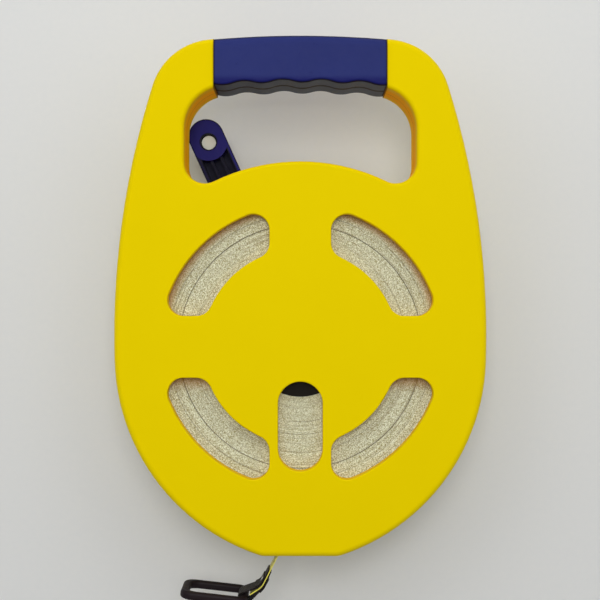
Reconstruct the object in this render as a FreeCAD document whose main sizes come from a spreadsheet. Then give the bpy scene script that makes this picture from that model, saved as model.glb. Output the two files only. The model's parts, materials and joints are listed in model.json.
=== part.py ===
"""Closed-case long measuring tape reel: two-part case with a carrying grip, a drum with its wound
tape, a winding crank behind the case, and a tape end with a hinged pull ring.

Frame: +Z up, +X right, the front face looks towards -Y. The origin is the middle of the grip.
Millimetres throughout. Every depth runs along Y; a case depth is measured from the parting plane.
"""
import FreeCAD
import Part
import math
import os
import re
import Sketcher

Vector = FreeCAD.Vector
ALONG_Y = FreeCAD.Rotation(Vector(1, 0, 0), -90)

SIZES = {
    # Wound tape and its drum
    "coil_rad": 84.0,          # outside of the full tape coil
    "hub_rad": 25.5,           # drum barrel that the tape is wound on
    "hub_wall": 3.6,
    "pin_rad": 1.3,            # pin that holds the tape's inner end in the drum
    "tape_wide": 13.0,
    "tape_thick": 0.45,
    "coil_clear": 0.4,         # tape that leaves the coil, clear of the turning coil
    "tape_front": 8.0,         # how far the coil's front edge stands in front of the parting plane
    "lip_rad": 32.0,           # drum flange behind the coil
    "lip_thick": 1.8,
    "web_thick": 3.0,
    "drum_front": 11.4,
    "drum_rear": 9.4,
    "boss_rad": 12.0,
    "journal_rad": 14.0,
    "running_fit": 0.05,       # radial clearance of every shaft that turns
    "rest_fit": 0.1,           # clearance of parts that are fitted and stay still
    # Case
    "half_deep": 15.0,         # parting plane to the outer face
    "wall": 2.6,
    "side_gap": 6.95,          # coil to case wall at the flanks
    "low_gap": 19.4,           # coil to case wall below
    "over_gap": 6.5,           # coil to the floor of the hand hole
    "top_rad": 510.0,
    "shoulder_rad": 33.0,
    "shoulder_out": 42.8,
    "shoulder_drop": 21.45,
    "flank_rad": 420.2,
    "low_drop": 4.1,
    "foot_rad": 9.9,
    "foot_half": 17.7,
    "edge_round": 3.0,
    "hole_edge_round": 2.0,
    "tongue_deep": 2.0,
    "tongue_thick": 1.2,
    "tongue_fit": 0.2,
    # Hand hole
    "hole_half": 58.3,
    "hole_floor": 49.9,        # grip centre to the crown of the floor
    "floor_rad": 98.5,
    "hole_low_rad": 10.5,
    "hole_top_rad": 21.0,
    "hole_top": 12.3,
    # Windows and centre slot
    "window_in": 49.2,
    "window_out": 71.1,
    "spoke_half": 15.5,
    "window_round": 8.0,
    "slot_half": 11.2,
    "slot_near": 17.4,
    "slot_far": 62.4,
    "collar_thick": 1.6,
    "collar_gap": 0.4,
    "window_edge": 0.6,
    # Grip
    "grip_half": 43.3,
    "grip_high": 24.2,         # top to underside at the crests
    "grip_deep": 16.0,
    "wave_margin": 3.7,        # outermost crests to the grip's ends, on average
    "wave_high": 1.5,
    "wave_shift": 1.0,
    "grip_edge": 1.4,
    "grip_round": 5.0,
    "core_high": 8.0,
    "core_deep": 12.0,
    # Screws
    "screw_rad": 1.5,
    "head_rad": 2.9,
    "head_high": 2.2,
    "screw_long": 19.0,
    "sink_deep": 2.6,
    "case_boss": 4.4,
    "coil_screw_gap": 3.1,     # screw boss to the turning coil
    "corner_screw_in": 2.5,    # shoulder screws, from midway between hand hole and outline
    "side_screw_low": 14.0,    # screws beside the hand hole, below its floor
    "foot_screw_out": 12.3,    # screws beside the mouth, from the foot's rounds
    "foot_screw_up": 8.7,
    "blind_skin": 0.8,         # plastic left over a blind hole
    "grip_screw_out": 19.6,
    "grip_screw_long": 26.0,
    # Bearings
    "post_rad": 7.95,
    "post_tip": 3.0,
    "post_end_gap": 0.4,
    "post_foot_rad": 12.0,
    "washer_thick": 0.8,
    "bush_wall": 4.0,
    "bush_in": 10.0,
    "bush_rim": 21.0,
    "bush_rim_thick": 1.0,
    # Crank
    "crank_rad": 117.7,
    "crank_lean": 24.4,        # rest angle, left of upright
    "crank_gap": 2.0,
    "arm_wide": 18.8,
    "arm_thick": 9.0,
    "arm_round": 1.5,
    "arm_over": 2.9,           # end round beyond the knob axle
    "crank_boss_over": 0.6,    # the knob end's boss radius over half the arm's width
    "crank_hub_rad": 23.0,
    "crank_hub_thick": 12.0,
    "channel_rim": 2.2,
    "channel_step": 2.0,
    "channel_deep": 6.5,
    "rib_thick": 1.6,
    "dog_side": 15.0,
    "dog_deep": 6.0,
    "crank_sink_rad": 9.5,
    "crank_sink": 6.0,
    "main_screw_rad": 2.5,
    "main_head_rad": 4.5,
    "main_head_high": 2.8,
    "main_screw_long": 20.0,
    "main_washer_rad": 7.5,
    "main_washer_thick": 1.0,
    "insert_rad": 4.0,
    "insert_long": 8.0,
    "cap_proud": 0.4,
    # Knob
    "axle_rad": 3.7,
    "axle_hole_rad": 4.15,
    "axle_recess": 3.0,
    "axle_long": 30.0,
    "knob_rad": 9.0,
    "knob_waist": 1.0,
    "knob_band": 5.9,          # straight part at each end of the waist
    "knob_long": 29.5,
    "knob_gap": 0.6,
    "knob_round": 1.8,
    "knob_sink": 6.2,
    "knob_sink_rad": 6.4,
    "knob_cap_thick": 2.4,
    "knob_head_rad": 5.2,
    "knob_head_high": 2.0,
    "knob_screw_rad": 1.5,
    "knob_screw_long": 10.0,
    # Tape mouth
    "mouth_left": 22.0,
    "mouth_right": 2.2,
    "mouth_rim": 2.0,
    "mouth_high": 7.0,
    "mouth_recess": 1.2,
    "mouth_gap": 0.4,
    "exit_out": 10.95,         # where the tape crosses the foot of the case, left of the middle
    "exit_lean": 63.0,         # tape below horizontal outside the mouth
    "lip_bend": 3.0,           # bend of the tape over the lip bar
    "lip_up": 5.3,             # end of that bend above the foot
    # Tape end and pull ring
    "tail_long": 18.8,         # foot of the case to the bend in the tape's end
    "end_lean": 33.0,
    "end_long": 10.8,          # that bend to the ring's bar
    "end_bend": 7.0,
    "tape_end_gap": 1.2,       # cut end of the tape to the ring's bar
    "strap_thick": 0.7,
    "strap_fit": 0.05,
    "strap_long": 8.6,
    "doubler_thick": 0.5,
    "doubler_long": 4.8,
    "doubler_share": 0.25,
    "rivet_rad": 0.8,
    "rivet_up": 3.3,
    "rivet_pitch": 6.5,
    "rivet_head_rad": 1.3,
    "rivet_head_high": 0.3,
    "ring_long": 34.2,
    "ring_wide": 27.0,
    "ring_bar": 4.0,
    "ring_high": 4.1,
    "ring_round": 1.4,
    "ring_corner": 6.0,
    "ring_far_corner": 4.5,    # inside corners at the free end
    "ring_near_corner": 2.0,   # inside corners beside the strap
    "ring_slope": 6.5,
    "ring_fit": 0.2,
    "ring_reach": 2.5,         # farthest corner of the ring's bar from its middle
}

doc = FreeCAD.newDocument("TapeReel")
sheet = doc.addObject("Spreadsheet::Sheet", "Sizes")
for row, (alias, number) in enumerate(SIZES.items(), start=1):
    sheet.set(f"A{row}", alias)
    sheet.set(f"B{row}", str(number))
    sheet.setAlias(f"B{row}", alias)
doc.recompute()

# Places that several pieces share, each written once from the sizes above.
REEL_DROP = "(hole_floor + wall + over_gap + coil_rad)"
HALF_WIDE = "(coil_rad + side_gap + wall)"
LOW_RAD = "(coil_rad + low_gap + wall)"
FLANK_X = f"({HALF_WIDE} - flank_rad)"
FLANK_Z = (f"(-shoulder_drop - sqrt((flank_rad - shoulder_rad)^2 - (shoulder_out - {FLANK_X})^2))")
LOW_Z = f"(-{REEL_DROP} - low_drop)"
LOW_X = f"({FLANK_X} + sqrt((flank_rad - {LOW_RAD})^2 - ({LOW_Z} - {FLANK_Z})^2))"
FOOT_Z = f"({LOW_Z} - sqrt(({LOW_RAD} - foot_rad)^2 - (foot_half - {LOW_X})^2))"
BOTTOM = f"({FOOT_Z} - foot_rad)"
TOP_Z = "(-shoulder_drop - sqrt((top_rad - shoulder_rad)^2 - shoulder_out^2))"
COIL_REAR = "(tape_wide - tape_front)"
CRANK_Y = "(half_deep + crank_gap)"
CRANK_BOSS_RAD = "(arm_wide / 2 + crank_boss_over)"
WAVE_LONG = "((grip_half - wave_margin) / 2)"    # one finger, four to the grip
KNOB_Y = f"({CRANK_Y} + arm_thick + knob_gap)"
AXLE_Y = f"({CRANK_Y} + axle_recess)"
SINK_Y = f"({CRANK_Y} + crank_hub_thick - crank_sink)"
BUSH_RAD = "(journal_rad + running_fit + bush_wall)"
LIP_X = "(-exit_out + lip_up / tan(exit_lean) + lip_bend * sin(exit_lean))"
LIP_Z = f"({BOTTOM} + lip_up - lip_bend * cos(exit_lean))"
SHOULDER_SCREW = ("(hole_half + shoulder_out + shoulder_rad) / 2 - corner_screw_in",
                  "-shoulder_drop - corner_screw_in")
PILOT = "screw_rad + rest_fit / 2"
THROUGH = "screw_rad + rest_fit"
HEAD_SINK = "head_rad + rest_fit"
MIDDLE = ("0", f"-{REEL_DROP}")


def bind(text):
    """An expression with each size's word turned into its cell in the sheet."""
    return re.sub(r"[a-z]+(?:_[a-z]+)+|\bwall\b", lambda word: "Sizes." + word.group(0), str(text))


def value(text):
    """The number that an expression of sizes stands for."""
    return float(sheet.evalExpression(bind(text)))


# ---------------------------------------------------------------- sketches

class Drawing:
    """Sketch geometry in the X-Z plane, each part of it held by expressions of the sizes."""

    def __init__(self, sketch):
        self.sketch = sketch

    def hold(self, kind, target, text):
        number = value(text)
        index = self.sketch.addConstraint(Sketcher.Constraint(kind, *target, number))
        self.sketch.setExpression(f"Constraints[{index}]", bind(text))

    def hold_point(self, geometry, which, x, z):
        self.hold("DistanceX", (-1, 1, geometry, which), x)
        self.hold("DistanceY", (-1, 1, geometry, which), z)

    def circle(self, x, z, radius):
        shape = Part.Circle(Vector(value(x), value(z), 0), Vector(0, 0, 1), value(radius))
        index = self.sketch.addGeometry(shape, False)
        self.hold("Radius", (index,), radius)
        self.hold_point(index, 3, x, z)

    def box(self, left, right, low, high):
        corners = [(left, low), (right, low), (right, high), (left, high)]
        self.loop([("point",) + corner for corner in corners])

    def loop(self, items):
        """A closed outline, anticlockwise. Items are ("point", x, z), ("across", z),
        ("upright", x) and ("arc", x, z, radius, turn), turn being 1 to the left and -1 to the
        right. Neighbouring arcs and lines touch where they are tangent; a point between two
        items says where they meet, and two points in a row are joined by a straight edge."""
        steps = []
        for number, item in enumerate(items):
            following = items[(number + 1) % len(items)]
            if item[0] == "point":
                if following[0] == "point":
                    steps.append((None, item[1:], following[1:]))
                continue
            before = items[number - 1]
            start = before[1:] if before[0] == "point" else meeting(before, item)
            end = following[1:] if following[0] == "point" else meeting(item, following)
            steps.append((item if item[0] == "arc" else None, start, end))
        first = last = None
        for arc, start, end in steps:
            index, begins, ends = self.edge(arc, start, end)
            self.hold_point(index, begins, *start)
            if last is not None:
                self.sketch.addConstraint(
                    Sketcher.Constraint("Coincident", last[0], last[1], index, begins))
            first = first or (index, begins)
            last = (index, ends)
        self.sketch.addConstraint(Sketcher.Constraint("Coincident", *last, *first))

    def edge(self, arc, start, end):
        begin = Vector(value(start[0]), value(start[1]), 0)
        finish = Vector(value(end[0]), value(end[1]), 0)
        if arc is None:
            return self.sketch.addGeometry(Part.LineSegment(begin, finish), False), 1, 2
        centre = Vector(value(arc[1]), value(arc[2]), 0)
        angles = [math.atan2(p.y - centre.y, p.x - centre.x) for p in (begin, finish)]
        if arc[4] < 0:
            angles.reverse()
        if angles[1] < angles[0]:
            angles[1] += 2 * math.pi
        circle = Part.Circle(centre, Vector(0, 0, 1), (begin - centre).Length)
        index = self.sketch.addGeometry(Part.ArcOfCircle(circle, *angles), False)
        chord = finish - begin
        if abs(chord.y) > abs(chord.x):
            self.hold("DistanceX", (-1, 1, index, 3), arc[1])
        else:
            self.hold("DistanceY", (-1, 1, index, 3), arc[2])
        return (index, 1, 2) if arc[4] > 0 else (index, 2, 1)


def meeting(one, two):
    """Where two neighbouring items of a loop touch, as a pair of expressions."""
    kinds = (one[0], two[0])
    if kinds == ("arc", "arc"):
        part = f"({one[3]}) / (({one[3]}) {'-' if one[4] == two[4] else '+'} ({two[3]}))"
        return tuple(f"({one[i]}) + (({two[i]}) - ({one[i]})) * {part}" for i in (1, 2))
    arc = one if one[0] == "arc" else two
    line = two if arc is one else one
    if arc[0] == "arc":
        return (arc[1], line[1]) if line[0] == "across" else (line[1], arc[2])
    return (two[1], one[1]) if one[0] == "across" else (one[1], two[1])


def case_outline(drawing, inset="0"):
    """The case seen from the front, moved inwards by inset."""
    right = [("arc", LOW_X, LOW_Z, f"{LOW_RAD} - {inset}", 1),
             ("arc", FLANK_X, FLANK_Z, f"flank_rad - {inset}", 1),
             ("arc", "shoulder_out", "-shoulder_drop", f"shoulder_rad - {inset}", 1)]
    left = [("arc", f"-({x})", z, radius, turn) for _, x, z, radius, turn in reversed(right)]
    foot = ("foot_half", FOOT_Z, f"foot_rad - {inset}", 1)
    drawing.loop([("across", f"{BOTTOM} + {inset}"), ("arc",) + foot] + right
                 + [("arc", "0", TOP_Z, f"top_rad - {inset}", 1)] + left
                 + [("arc", f"-({foot[0]})") + foot[1:]])


def hand_hole(drawing, grow="0"):
    """The hand hole seen from the front, moved outwards by grow."""
    floor_z = "(-hole_floor - floor_rad)"
    low_x = "(hole_half - hole_low_rad)"
    low_z = f"({floor_z} + sqrt((floor_rad + hole_low_rad)^2 - {low_x}^2))"
    top_x = "(hole_half - hole_top_rad)"
    top_z = "(-hole_top - hole_top_rad)"
    drawing.loop([("arc", "0", floor_z, f"floor_rad - {grow}", -1),
                  ("arc", low_x, low_z, f"hole_low_rad + {grow}", 1),
                  ("upright", f"hole_half + {grow}"),
                  ("arc", top_x, top_z, f"hole_top_rad + {grow}", 1),
                  ("across", f"-hole_top + {grow}"),
                  ("arc", f"-{top_x}", top_z, f"hole_top_rad + {grow}", 1),
                  ("upright", f"-hole_half - {grow}"),
                  ("arc", f"-{low_x}", low_z, f"hole_low_rad + {grow}", 1)])


def window(drawing, side, up, grow="0"):
    """One of the four curved windows, in the quarter that side and up (1 or -1) give. Mirroring
    an outline turns its arcs the other way, so turned goes with each arc's own direction."""
    near = "(spoke_half + window_round)"
    inner = f"(sqrt((window_in + window_round)^2 - {near}^2))"
    outer = f"(sqrt((window_out - window_round)^2 - {near}^2))"
    corner = f"window_round + {grow}"
    items = [("arc", near, inner, corner, 1),
             ("arc", "0", "0", f"window_in - {grow}", -1),
             ("arc", inner, near, corner, 1),
             ("across", f"spoke_half - {grow}"),
             ("arc", outer, near, corner, 1),
             ("arc", "0", "0", f"window_out + {grow}", 1),
             ("arc", near, outer, corner, 1),
             ("upright", f"spoke_half - {grow}")]
    turned = side * up
    placed = []
    for item in items:
        if item[0] == "arc":
            placed.append(("arc", f"{side} * ({item[1]})", f"{up} * ({item[2]}) - {REEL_DROP}",
                           item[3], item[4] * turned))
        elif item[0] == "across":
            placed.append(("across", f"{up} * ({item[1]}) - {REEL_DROP}"))
        else:
            placed.append(("upright", f"{side} * ({item[1]})"))
    drawing.loop(placed)


def centre_slot(drawing, grow="0"):
    """The upright slot below the middle."""
    high = f"-{REEL_DROP} - slot_near - slot_half"
    low = f"-{REEL_DROP} - slot_far + slot_half"
    radius = f"slot_half + {grow}"
    drawing.loop([("arc", "0", low, radius, 1), ("upright", radius),
                  ("arc", "0", high, radius, 1), ("upright", f"-({radius})")])


def openings(drawing, grow="0", slot=True):
    for side in (1, -1):
        for up in (1, -1):
            window(drawing, side, up, grow)
    if slot:
        centre_slot(drawing, grow)


# ---------------------------------------------------------------- features

def new_body(label, x="0", z="0", lean=None):
    """A body at a place in the front view, leaning to the left where lean is given."""
    body = doc.addObject("PartDesign::Body", label.title().replace("_", ""))
    body.Label = label
    if lean:
        body.Placement.Rotation = FreeCAD.Rotation(Vector(0, 1, 0), 1)
        body.setExpression("Placement.Rotation.Angle", bind(f"-({lean})"))
    body.setExpression("Placement.Base.x", bind(x))
    body.setExpression("Placement.Base.z", bind(z))
    return body


def sketch(body, depth, draw):
    """A sketch across Y at a depth, drawn by the function given."""
    made = body.newObject("Sketcher::SketchObject", "Sketch")
    plane = [item for item in body.Origin.OriginFeatures if item.Role == "XZ_Plane"][0]
    made.AttachmentSupport = [(plane, "")]
    made.MapMode = "FlatFace"
    made.setExpression("AttachmentOffset.Base.z", bind(f"-({depth})"))
    draw(Drawing(made))
    return made


def add(body, near, far, draw):
    """Material between two depths."""
    pad = body.newObject("PartDesign::Pad", "Pad")
    pad.Profile = sketch(body, near, draw)
    pad.setExpression("Length", bind(f"({far}) - ({near})"))
    pad.Reversed = True
    return finish(body, pad)


def cut(body, near, far, draw):
    """A cut between two depths, which has to take something away."""
    before = body.Shape.Volume
    pocket = body.newObject("PartDesign::Pocket", "Pocket")
    pocket.Profile = sketch(body, near, draw)
    pocket.setExpression("Length", bind(f"({far}) - ({near})"))
    finish(body, pocket)
    if body.Shape.Volume > before - 1e-6:
        raise RuntimeError(f"a cut in {body.Label} takes nothing away")
    return pocket


def round_edges(body, radius, wanted):
    """A fillet on the edges that the function wanted picks."""
    names = [f"Edge{number}" for number, edge in enumerate(body.Shape.Edges, start=1)
             if wanted(edge)]
    base = body.Tip
    fillet = body.newObject("PartDesign::Fillet", "Fillet")
    fillet.Base = (base, names)
    fillet.setExpression("Radius", bind(radius))
    return finish(body, fillet)


def finish(body, feature):
    body.Tip = feature
    doc.recompute()
    if body.Shape.isNull() or not body.Shape.isValid():
        raise RuntimeError(f"{feature.Label} of {body.Label} failed")
    return feature


def in_plane(depth):
    """Picks the edges that lie in the plane at this depth."""
    place = value(depth)

    def test(edge):
        box = edge.BoundBox
        return abs(box.YMin - place) < 1e-4 and abs(box.YMax - place) < 1e-4
    return test


def disc(x, z, radius):
    return lambda drawing: drawing.circle(x, z, radius)


def rectangle(left, right, low, high):
    return lambda drawing: drawing.box(left, right, low, high)


def rod(x, z, near, far, radius):
    """A plain round bar along Y."""
    made = doc.addObject("Part::Cylinder", "Rod")
    made.Placement = FreeCAD.Placement(Vector(0, 0, 0), ALONG_Y)
    made.setExpression("Radius", bind(radius))
    made.setExpression("Height", bind(f"({far}) - ({near})"))
    made.setExpression("Placement.Base.x", bind(x))
    made.setExpression("Placement.Base.y", bind(near))
    made.setExpression("Placement.Base.z", bind(z))
    return made


def joined(pieces, label=None):
    made = doc.addObject("Part::MultiFuse", "Joined")
    made.Shapes = pieces
    if label:
        made.Label = label
    return made


def ring(label, x, z, near, far, outer, inner):
    """A washer or collar along Y."""
    made = doc.addObject("Part::Cut", "Ring")
    made.Base = rod(x, z, near, far, outer)
    made.Tool = rod(x, z, f"({near}) - 1", f"({far}) + 1", inner)
    made.Label = label
    return made


def group(label, pieces):
    """Separate solids that share one node."""
    made = doc.addObject("Part::Compound", "Group")
    made.Links = pieces
    made.Label = label
    return made


# ---------------------------------------------------------------- case

def screw_places():
    """The eight case screws: shoulders, above the coil, beside it and under it."""
    ring_rad = "(coil_rad + coil_screw_gap + case_boss)"
    places = []
    for side in (1, -1):
        places.append((f"{side} * ({SHOULDER_SCREW[0]})", SHOULDER_SCREW[1]))
        places.append((f"{side} * (hole_half + wall + 2 * case_boss + coil_screw_gap)",
                       "-hole_floor - side_screw_low"))
        places.append((f"{side} * {ring_rad} * cos(45)", f"-{REEL_DROP} - {ring_rad} * sin(45)"))
        places.append((f"{side} * (foot_half + foot_screw_out)",
                       f"{BOTTOM} + wall + foot_screw_up"))
    return places


def grip_screw_places():
    return [(f"{side} * grip_screw_out", "0") for side in (1, -1)]


def depths_of(side):
    """Depths counted outwards from the parting plane, turned into places along Y for a side."""
    def depths(inner, outer):
        return (inner, outer) if side > 0 else (f"-({outer})", f"-({inner})")
    return depths


def half_case(label, side):
    """One shell. side is -1 for the front and 1 for the rear; depths run outwards."""
    body = new_body(label)
    depths = depths_of(side)
    front = side < 0
    outer_face = f"{side} * half_deep"
    on_face = in_plane(outer_face)
    inner_face = "half_deep - wall"
    into_plate = "half_deep - wall / 2"
    past_face = "half_deep + 1"
    add(body, *depths("0", "half_deep"), case_outline)
    round_edges(body, "edge_round", in_plane(outer_face))
    cut(body, *depths("0", inner_face), lambda drawing: case_outline(drawing, "wall"))
    add(body, *depths("0", into_plate), lambda drawing: hand_hole(drawing, "wall"))
    cut(body, *depths("-1", past_face), hand_hole)
    inside = value("hole_half") + 1
    hole_low, hole_high = value("-hole_floor - hole_low_rad * 2"), value("-hole_top") + 1
    round_edges(body, "hole_edge_round", lambda edge: on_face(edge)
                and abs(edge.BoundBox.XMax) < inside and abs(edge.BoundBox.XMin) < inside
                and edge.BoundBox.ZMin > hole_low and edge.BoundBox.ZMax < hole_high)
    tongue_in = "(wall - tongue_thick)"
    if front:
        add(body, "-wall", "tongue_deep", lambda drawing: (
            case_outline(drawing, tongue_in), case_outline(drawing, "wall")))
    grip_recess(body, side)

    # Collars round the openings keep the coil's edge off the face plate
    coil_face = "tape_front" if front else COIL_REAR
    collar = f"({coil_face} + collar_gap)"
    add(body, *depths(collar, into_plate), lambda drawing: openings(drawing, "collar_thick", front))
    cut(body, *depths(f"{collar} - 1", past_face), lambda drawing: openings(drawing, "0", front))
    reel_z, reach = value(f"-{REEL_DROP}"), value("window_out")
    round_edges(body, "window_edge", lambda edge: on_face(edge)
                and abs(edge.BoundBox.Center.x) < reach
                and abs(edge.BoundBox.Center.z - reel_z) < reach)
    case_screw_bosses(body, side)
    if not front:
        cut(body, "-1", "tongue_deep + rest_fit", lambda drawing: (
            case_outline(drawing, f"({tongue_in} - tongue_fit)"),
            case_outline(drawing, "wall")))

    # Bearing: a post in front of the drum, a bushed bore behind it
    if front:
        add(body, *depths("drum_front + washer_thick", into_plate), disc(*MIDDLE, "post_foot_rad"))
        add(body, *depths("post_tip", into_plate), disc(*MIDDLE, "post_rad"))
    else:
        add(body, *depths("bush_in", into_plate), disc(*MIDDLE, f"{BUSH_RAD} + wall"))
        cut(body, *depths("bush_in - 1", past_face), disc(*MIDDLE, f"{BUSH_RAD} + rest_fit / 2"))

    mouth = f"({coil_face} + mouth_gap + mouth_rim)"
    cut(body, *depths("-tongue_deep - 1", f"{mouth} + rest_fit"),
        rectangle("-mouth_left - rest_fit", "-mouth_right + rest_fit",
                  f"{BOTTOM} - 1", f"{BOTTOM} + 2 * wall"))
    return body


def grip_recess(body, side):
    """The recess for the grip, the end walls that close it off, and the bar inside the grip."""
    depths = depths_of(side)
    into_plate = "half_deep - wall / 2"
    recess = "(grip_half + rest_fit)"
    cut(body, *depths("-tongue_deep - 1", "half_deep + 1"),
        rectangle(f"-{recess}", recess, "-hole_top - wall", "shoulder_rad"))
    corner_in = f"({recess} - hole_half + hole_top_rad)"
    end_low = f"(-hole_top - hole_top_rad + sqrt(hole_top_rad^2 - {corner_in}^2) + wall / 4)"
    end_high = f"({TOP_Z} + sqrt(top_rad^2 - ({recess} + wall)^2) - wall / 2)"
    for hand in (1, -1):
        ends = (recess, f"{recess} + wall") if hand > 0 else (f"-{recess} - wall", f"-{recess}")
        add(body, *depths("0", into_plate), rectangle(*ends, end_low, end_high))
    reach = f"({recess} + wall / 2)"
    add(body, *depths("0", "core_deep"), rectangle(f"-{reach}", reach, "-core_high", "core_high"))
    cut(body, *depths("-1", "core_deep - wall"),
        rectangle(f"-{recess}", recess, "-core_high + wall", "core_high - wall"))


def case_screw_bosses(body, side):
    """A boss at each screw: a blind pilot hole in front, a through hole with a head sink behind."""
    depths = depths_of(side)

    def holes(radius):
        return lambda drawing: [drawing.circle(x, z, radius) for x, z in screw_places()]

    add(body, *depths("0", "half_deep - wall / 2"), holes("case_boss"))
    if side < 0:
        cut(body, *depths("-1", "half_deep - wall"), holes(PILOT))
    else:
        cut(body, *depths("-1", "half_deep + 1"), holes(THROUGH))
        cut(body, *depths("half_deep - sink_deep", "half_deep + 1"), holes(HEAD_SINK))
    cut(body, *depths("core_deep - wall - 1", "core_deep + 1"), lambda drawing: [
        drawing.circle(x, z, THROUGH) for x, z in grip_screw_places()])


def half_grip(label, side):
    """One half of the grip, with finger grooves along its arched underside."""
    depths = depths_of(side)
    end_top = f"{TOP_Z} + sqrt(top_rad^2 - grip_half^2)"
    swell = "(wave_high / 2)"
    wave_rad = f"((({WAVE_LONG} / 4)^2 + (wave_high / 2)^2) / wave_high)"

    def midline(x):
        """Height of the line that the waves swing about, parallel to the top."""
        return f"({TOP_Z} + sqrt((top_rad - grip_high + wave_high / 2)^2 - ({x})^2))"

    def crest_z(x):
        return f"({midline(x)} - {swell} + {wave_rad})"

    def on_crest(x, middle):
        return f"({crest_z(middle)} - sqrt({wave_rad}^2 - (({x}) - {middle})^2))"

    first = f"(wave_shift - 2 * {WAVE_LONG})"
    last = f"(wave_shift + 2 * {WAVE_LONG})"
    outline = [("point", "-grip_half", on_crest("-grip_half", first))]
    for number in range(4):
        crest = f"(wave_shift + {number - 2} * {WAVE_LONG})"
        groove = f"(wave_shift + {number - 1.5} * {WAVE_LONG})"
        begin, end = f"({groove} - {WAVE_LONG} / 4)", f"({groove} + {WAVE_LONG} / 4)"
        outline += [("arc", crest, crest_z(crest), wave_rad, 1), ("point", begin, midline(begin)),
                    ("arc", groove, f"{midline(groove)} + {swell} - {wave_rad}", wave_rad, -1),
                    ("point", end, midline(end))]
    outline += [("arc", last, crest_z(last), wave_rad, 1),
                ("point", "grip_half", on_crest("grip_half", last)),
                ("point", "grip_half", end_top),
                ("arc", "0", TOP_Z, "top_rad", 1), ("point", "-grip_half", end_top)]
    body = new_body(label)
    add(body, *depths("0", "grip_deep"), lambda drawing: drawing.loop(outline))
    on_face = in_plane(f"{side} * grip_deep")
    round_edges(body, "grip_round", lambda edge: on_face(edge) and edge.BoundBox.ZMin > 0
                and edge.BoundBox.XLength > value("grip_half"))
    low = value("-core_high")
    round_edges(body, "grip_edge", lambda edge: on_face(edge) and edge.BoundBox.ZMax < low)
    cut(body, *depths("-1", "core_deep + rest_fit"), rectangle(
        "-grip_half - 1", "grip_half + 1", "-core_high - rest_fit", "core_high + rest_fit"))
    if side < 0:
        cut(body, *depths("core_deep", "grip_deep - blind_skin"), lambda drawing: [
            drawing.circle(x, z, PILOT) for x, z in grip_screw_places()])
    else:
        cut(body, *depths("core_deep", "grip_deep + 1"), lambda drawing: [
            drawing.circle(x, z, THROUGH) for x, z in grip_screw_places()])
        cut(body, *depths("grip_deep - sink_deep", "grip_deep + 1"), lambda drawing: [
            drawing.circle(x, z, HEAD_SINK) for x, z in grip_screw_places()])
    return body


def screws(label, places, seat, length):
    """Pan-head screws driven from behind, their heads on the seat depth."""
    pieces = []
    for x, z in places:
        shank = rod(x, z, f"{seat} - {length}", seat, "screw_rad")
        head = rod(x, z, seat, f"{seat} + head_high", "head_rad")
        pieces.append(joined([shank, head]))
    return group(label, pieces)


# ---------------------------------------------------------------- drum

def make_drum():
    body = new_body("drum", z=f"-{REEL_DROP}", lean="crank_lean")
    add(body, "-tape_front", "drum_rear", disc("0", "0", "hub_rad"))
    add(body, "-drum_front", "-tape_front + web_thick / 2", disc("0", "0", "boss_rad"))
    cut(body, "-tape_front + web_thick", "drum_rear + 1", lambda drawing: (
        drawing.circle("0", "0", "hub_rad - hub_wall"), drawing.circle("0", "0", "journal_rad")))
    lip = f"({COIL_REAR} + rest_fit)"
    add(body, lip, f"{lip} + lip_thick", lambda drawing: (
        drawing.circle("0", "0", "lip_rad"), drawing.circle("0", "0", "hub_rad - hub_wall / 2")))
    add(body, "-tape_front + web_thick / 2", CRANK_Y, disc("0", "0", "journal_rad"))
    cut(body, "-drum_front - 1", "-post_tip + post_end_gap",
        disc("0", "0", "post_rad + running_fit"))
    side = "(dog_side / 2 + rest_fit)"
    cut(body, f"{CRANK_Y} - dog_deep - rest_fit", f"{CRANK_Y} + 1",
        rectangle(f"-{side}", side, f"-{side}", side))
    socket = f"({CRANK_Y} - dog_deep)"
    cut(body, f"{socket} - insert_long - rest_fit", f"{socket} + 1", disc("0", "0", "insert_rad"))
    cut(body, "-tape_front - 1", COIL_REAR, disc("0", "hub_rad - hub_wall / 2", "pin_rad"))
    return body


def crank_place(out):
    """A point on the crank's line, out from the reel's axis, as expressions for x and z."""
    return f"-({out}) * sin(crank_lean)", f"-{REEL_DROP} + ({out}) * cos(crank_lean)"


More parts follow.
